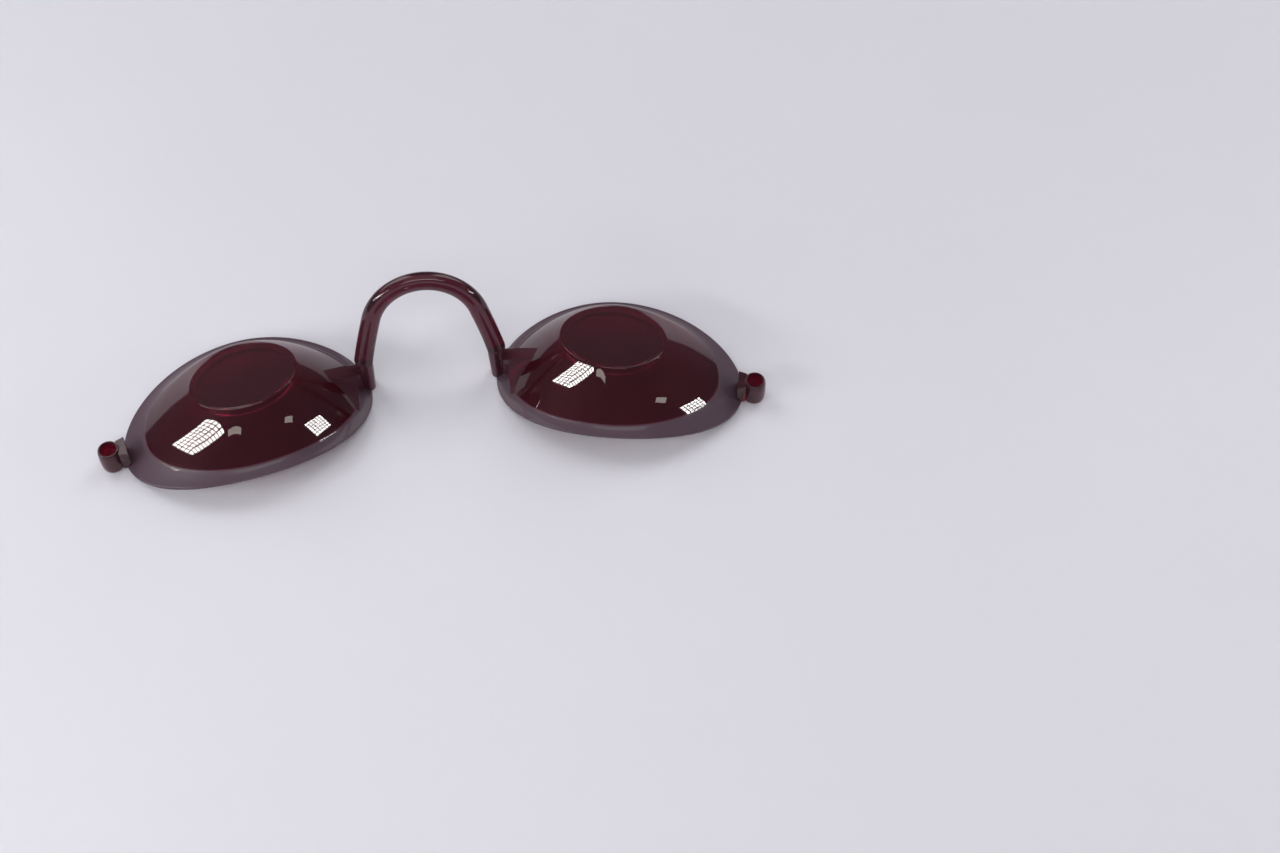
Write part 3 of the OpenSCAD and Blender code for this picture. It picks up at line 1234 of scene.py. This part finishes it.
@dataclass
class BridgeAnchor(Piece):
    """Foot of one leg: it widens to the nose end of the brim and carries the flat gusset.

    Attributes:
        arch: The arch.
        groove_deep: Depth of the groove in the foot, as a share of half the rails' depth.
        foot_power: How late the foot flows out to its pad, 1 for evenly.
        pad: Width and depth of the pad on the brim.
        pad_out: How far the pad starts on the nose side of the rim's end.
        pad_back: How far it stands towards the brow.
        pad_z: Height of its face over the table.
        reach: Length of the gusset along X.
        tip: Length of the gusset's blunt end.
        drop: How far the gusset's top lies under the leg's foot.
        rise: How far that top rises towards its end.
        front: Shares of the rails' width, depth and depth that place the top's front corner.
        back: Shares of the rails' width and depth that place its back corner.
        end: Share of the depth by which its end lies in front of the foot.
        ramp_reach: Length of the ramp towards the cheek.
        ramp_drop: How far its cheek corner lies under the leg's foot.
        ramp_foot: How far its nose corner lies under the leg's foot.
        run_on: Length of the plate's front edge, run on into the dome, as a share of its reach.
        over: How far the other edges run on into the dome, which trims them.
        lap: How far the ramp laps under the plate.
        opening: How many times faster than the foot its groove opens.
        steps: Rings along the foot.
    """

    arch: Arch
    groove_deep: float = 0.75
    foot_power: float = 1.3
    pad: tuple[float, float] = (3.0, 3.6)
    pad_out: float = 1.2
    pad_back: float = 0.3
    pad_z: float = 0.6
    reach: float = 7.2
    tip: float = 1.6
    drop: float = 2.1
    rise: float = 1.2
    front: tuple[float, float, float] = (0.3, 1 / 3, 0.3)
    back: tuple[float, float] = (0.6, 1 / 3)
    end: float = 0.9
    ramp_reach: float = 6.4
    ramp_drop: float = 5.4
    ramp_foot: float = 7.0
    run_on: float = 1.25
    over: float = 1.25
    lap: float = 0.25
    opening: float = 3.0
    steps: int = 24

    def foot(self) -> list[np.ndarray]:
        """Foot from the rails' end down to the pad on the brim.

        Returns:
            Its rings.
        """
        arch = self.arch
        b = arch.section
        width, depth = self.pad
        low = np.stack([arch.tip[0] - self.pad_out + width / 2 * (1 + np.cos(b)),
                        arch.tip[1] + self.pad_back + depth / 2 * arch.blunt(b, 1),
                        np.full_like(b, self.pad_z)], 1)
        rings = []
        for k in range(self.steps + 1):
            w = k / self.steps
            opened = min(1.0, self.opening * w)
            groove = arch.groove[0] + (self.groove_deep - arch.groove[0]) * opened
            top = arch.ring(arch.turn + arch.leg, groove, opened * self.groove_deep)
            flow = w**self.foot_power
            rings.append(lerp(top, low, np.array([flow, flow, w])))
        return rings

    def prism(self, corners: Sequence[np.ndarray], spots: Sequence[tuple[float, float]]) -> Skin:
        """Straight sided solid under a flat top.

        Args:
            corners: Three points of the top's plane.
            spots: Place of each corner of the top, along X and Y.

        Returns:
            The solid.
        """
        a, b, c = corners
        n = np.cross(b - a, c - a)
        top = np.array([[x, y, a[2] - (n[0] * (x - a[0]) + n[1] * (y - a[1])) / n[2]]
                        for x, y in spots])
        low = top.copy()
        low[:, 2] = self.pad_z
        skin = Skin()
        skin.loft([low, top])
        return skin

    def gusset(self) -> list[Skin]:
        """The plate with its flat top, and the ramp before it; both run on into the dome.

        Returns:
            The two solids.
        """
        arch = self.arch
        w, d = arch.width, arch.depth
        foot = np.array([arch.foot_x, arch.foot_y, arch.foot_z])
        front = foot + [self.front[0] * w, -self.front[1] * d, -self.drop - self.front[2] * d]
        back = foot + [self.back[0] * w, self.back[1] * d, -self.drop]
        end = foot + [self.reach, -self.end * d, self.rise - self.drop]
        nose = np.array([arch.tip[0], foot[1] - self.pad[1] / 2, foot[2] - self.ramp_foot])
        cheek = foot + [self.reach / 2, -self.ramp_reach, -self.ramp_drop]
        start = arch.tip[0] + arch.cup.brim[1] * math.cos(math.radians(arch.cup.sweep))
        far = lerp(front, end, self.run_on)
        low = cheek[1] - self.over
        plate = self.prism([front, end, back], [
            (front[0], front[1]), (far[0], far[1]), (far[0] + self.over, far[1] + self.tip),
            (back[0], back[1]), (foot[0], back[1])])
        ramp = self.prism([nose, cheek, end], [
            (start, front[1]), (start, low), (cheek[0] + self.over, low),
            (far[0], far[1] + self.lap)])
        return [plate, ramp]

    def build(self, finishes: Sequence[bpy.types.Material]) -> bpy.types.Object:
        """Builds the anchor, trims it to the cup and seats it on its body.

        Args:
            finishes: Its materials.

        Returns:
            The piece.
        """
        side = self.arch.cup.side
        skin = Skin()
        skin.loft(self.foot(), caps=(Region.BOND, Region.SKIN))
        name = f"{side.word}_anchor_gusset"
        made = self.stand(skin.mesh(name, side), name, finishes,
                          [f"{side.word}_bridge_anchor"], Slot.CUP)
        for block in self.gusset():
            self.trim(made, block.mesh("gusset", side), Trim.JOIN)
        self.trim(made, self.arch.cup.shadow(), Trim.CUT)
        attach(made, f"{side.word}_cup")
        return made


@dataclass
class StrapEyelet(Piece):
    """Bored barrel at the temple end, on its short web.

    Attributes:
        cup: Its cup.
        out: Distance of the bore from the middle of the cup.
        bore: Radius of the bore.
        wall: Thickness of the barrel.
        drawn: How much thinner the barrel is at its ends.
        height: Height of the barrel.
        low: Height of its foot over the table.
        web: Width of the web at the barrel and at the brim.
        web_over: How far the web runs on into the brim, which trims it.
        web_step: How far the web stays short of the barrel's ends.
        shoulder: Share of the drawn thickness and of the height that place the shoulders.
        side_from: Share of the height at which the straight side starts.
        bore_rounding: Rounding of the bore's edges.
        end_rounding: Rounding of the outer edges of the end faces.
        shoulder_rounding: Rounding of the shoulders.
        side_rounding: Rounding of the ends of the straight side.
        around: Points round each ring.
        round_steps: Steps of each rounding.
    """

    cup: EyeCup
    out: float = 29.75
    bore: float = 1.7
    wall: float = 0.65
    drawn: float = 0.3
    height: float = 5.6
    low: float = 0.1
    web: tuple[float, float] = (3.6, 4.6)
    web_over: float = 1.1
    web_step: float = 0.4
    shoulder: tuple[float, float] = (1 / 3, 1 / 8)
    side_from: float = 1 / 3
    bore_rounding: float = 0.12
    end_rounding: float = 0.15
    shoulder_rounding: float = 0.3
    side_rounding: float = 0.6
    around: int = 96
    round_steps: int = 5

    def circle(self, radius: float, z: float) -> np.ndarray:
        """Ring round the bore in the cup's frame.

        Args:
            radius: Its radius.
            z: Its height.

        Returns:
            The ring's points.
        """
        a = np.linspace(0, 2 * np.pi, self.around, endpoint=False)
        return np.stack([self.out + radius * np.cos(a), radius * np.sin(a),
                         np.full_like(a, self.low + z)], 1)

    def barrel(self) -> Skin:
        """The barrel with its bore and rounded ends.

        Returns:
            The barrel.
        """
        h, r = self.height, self.bore + self.wall
        drawn, up = self.shoulder
        half = [(self.bore, 0.0, self.bore_rounding), (r - self.drawn, 0.0, self.end_rounding),
                (r - self.drawn * drawn, h * up, self.shoulder_rounding),
                (r, h * self.side_from, self.side_rounding)]
        whole = [*half, *[(radius, h - z, size) for radius, z, size in reversed(half)]]
        profile = [(self.circle(radius, z), size) for radius, z, size in whole]
        rings, _ = rounded(profile, True, self.round_steps)
        skin = Skin()
        skin.loft([self.cup.to_row(r) for r in rings], loop=True)
        return skin

    def neck(self) -> Skin:
        """The straight sided web between the barrel and the brim.

        Returns:
            The web.
        """
        start, end = self.cup.rim_temple - self.web_over, self.out - self.bore
        narrow, wide = (w / 2 for w in self.web)
        outline = [(start, -wide), (end, -narrow), (end, narrow), (start, wide)]
        rings = [self.cup.to_row(np.array([(x, y, z) for x, y in outline]))
                 for z in (self.low + self.web_step, self.low + self.height - self.web_step)]
        skin = Skin()
        skin.loft(rings)
        return skin

    def build(self, finishes: Sequence[bpy.types.Material]) -> bpy.types.Object:
        """Builds the eyelet, trims it to the cup and seats it on its body.

        Args:
            finishes: Its materials.

        Returns:
            The piece.
        """
        side = self.cup.side
        name = f"{side.word}_strap_barrel"
        made = self.stand(self.barrel().mesh(name, side), name, finishes,
                          [f"{side.word}_strap_eyelet"], Slot.CUP)
        self.trim(made, self.neck().mesh("neck", side), Trim.JOIN)
        self.trim(made, self.cup.shadow(), Trim.CUT)
        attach(made, f"{side.word}_cup")
        return made


@dataclass
class Softbox:
    """Studio light as a lit sheet between four directions, seen only in reflections.

    Attributes:
        name: Its name.
        corners: Elevation and azimuth of each corner in degrees, from the brow side clockwise.
        cloth: Its finish.
        distance: Distance of the corners from the middle of the part, in metres.
    """

    name: str
    corners: tuple[tuple[float, float], ...]
    cloth: SoftboxCloth
    distance: float = 0.7

    def build(self) -> bpy.types.Object:
        """Puts the light in the scene.

        Returns:
            The light.
        """
        points = []
        for elevation, azimuth in self.corners:
            a, e = math.radians(azimuth), math.radians(elevation)
            points.append([self.distance * c for c in (math.sin(a) * math.cos(e),
                                                       math.cos(a) * math.cos(e), math.sin(e))])
        mesh = bpy.data.meshes.new(self.name)
        mesh.from_pydata(points, [], [(0, 1, 2, 3)])
        layer = mesh.uv_layers.new(name="weave")
        for loop, place in zip(layer.data, ((0, 0), (1, 0), (1, 1), (0, 1))):
            loop.uv = place
        mesh.materials.append(self.cloth.material())
        made = bpy.data.objects.new(self.name, mesh)
        bpy.context.scene.collection.objects.link(made)
        made.visible_camera = False
        return made


@dataclass
class Studio:
    """Pale table, soft lights and the camera at the photograph's angle.

    Attributes:
        table_half: Half the table's length in metres.
        table_gap: How far the table lies under the part, in metres.
        ambient: Colour of the room's even light.
        eye: Place of the camera in millimetres.
        target: Point that it looks at, in millimetres.
        lens: Its focal length in millimetres.
        film: Width of its film in millimetres.
        seen: Nearest and farthest that it sees, in metres.
        lights: The lights.
    """

    table_half: float = 3.0
    table_gap: float = 0.00003
    ambient: Colour = (0.105, 0.105, 0.130)
    eye: tuple[float, float, float] = (12.79, -227.37, 302.87)
    target: tuple[float, float, float] = (41.65, -11.33, 0.0)
    lens: float = 50.42
    film: float = 36.0
    seen: tuple[float, float] = (0.01, 20.0)
    lights: list[Softbox] = field(default_factory=lambda: [
        Softbox("softbox_left", ((15.3, -87.1), (27.4, -99.4), (30.8, -141.7), (23.4, -114.5)),
                SoftboxCloth("softbox_left_cloth", 32.0, cells=(11, 5)), 0.55),
        Softbox("softbox_right", ((21.3, 114.7), (25.0, 119.0), (18.1, 94.1), (14.9, 94.4)),
                SoftboxCloth("softbox_right_cloth", 32.0, cells=(6, 6)), 0.45),
        Softbox("lamp_left", ((30.5, -148.4), (31.2, -145.8), (31.3, -165.0), (30.7, -164.7)),
                SoftboxCloth("lamp_left_cloth", 5.0, tint=(1.0, 0.93, 0.86)), 0.55),
        Softbox("lamp_right", ((29.4, 137.6), (29.7, 132.0), (28.0, 121.8), (27.9, 127.9)),
                SoftboxCloth("lamp_right_cloth", 5.0, tint=(1.0, 0.93, 0.86)), 0.45),
        Softbox("screen_left", ((22, -68), (60, -68), (60, -20), (22, -20)),
                SoftboxCloth("screen_left_cloth", 2.4)),
        Softbox("screen_right", ((22, 26), (60, 26), (60, 70), (22, 70)),
                SoftboxCloth("screen_right_cloth", 2.2)),
        Softbox("softbox_front", ((38, 150), (56, 150), (56, 210), (38, 210)),
                SoftboxCloth("softbox_front_cloth", 3.6)),
        Softbox("softbox_above", ((60, 225), (60, 135), (60, 45), (60, -45)),
                SoftboxCloth("softbox_above_cloth", 0.5)),
    ])

    def build(self) -> None:
        """Builds the table, the world, the lights and the camera."""
        self.lay_table()
        self.fill_world()
        for light in self.lights:
            light.build()
        self.set_camera()

    def lay_table(self) -> None:
        """Lays the table top just under the goggles."""
        half, low = self.table_half, -self.table_gap
        mesh = bpy.data.meshes.new("table")
        mesh.from_pydata([(-half, -half, low), (half, -half, low), (half, half, low),
                          (-half, half, low)], [], [(0, 1, 2, 3)])
        mesh.materials.append(TableTop("table_top").material())
        made = bpy.data.objects.new("table", mesh)
        bpy.context.scene.collection.objects.link(made)

    def fill_world(self) -> None:
        """Gives the room its dim even light."""
        world = bpy.data.worlds.new("room")
        bpy.context.scene.world = world
        world.use_nodes = True
        g = Graph(world.node_tree)
        sky = g.node("ShaderNodeBackground", None, {"Color": (*self.ambient, 1)})
        g.node("ShaderNodeOutputWorld", None, {"Surface": sky.outputs[0]})

    def set_camera(self) -> None:
        """Sets the camera and plain colours."""
        data = bpy.data.cameras.new("camera")
        data.lens = self.lens
        data.sensor_width = self.film
        data.clip_start, data.clip_end = self.seen
        camera = bpy.data.objects.new("camera", data)
        bpy.context.scene.collection.objects.link(camera)
        eye, target = Vector(self.eye) * MM, Vector(self.target) * MM
        camera.location = eye
        camera.rotation_mode = "QUATERNION"
        camera.rotation_quaternion = (target - eye).to_track_quat("-Z", "Y")
        bpy.context.scene.camera = camera
        bpy.context.scene.view_settings.view_transform = "Standard"


def main() -> None:
    """Builds every piece in order, then the studio."""
    logging.basicConfig(level=logging.INFO, format="%(message)s")
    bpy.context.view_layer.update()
    bond = Bond("moulded_joint").material()
    finishes = {plastic: [plastic.value.material(), bond] for plastic in Plastic}
    for side in Side:
        cup = EyeCup(side)
        cup.build(finishes[Plastic.CUP])
        FilterWindow(cup).build(finishes[Plastic.WINDOW])
        arch = Arch(cup)
        BridgeHalf(arch, side).build(finishes[Plastic.BRIDGE])
        BridgeAnchor(arch).build(finishes[Plastic.ANCHOR])
        StrapEyelet(cup).build(finishes[Plastic.EYELET])
    Studio().build()


if __name__ == "__main__":
    main()
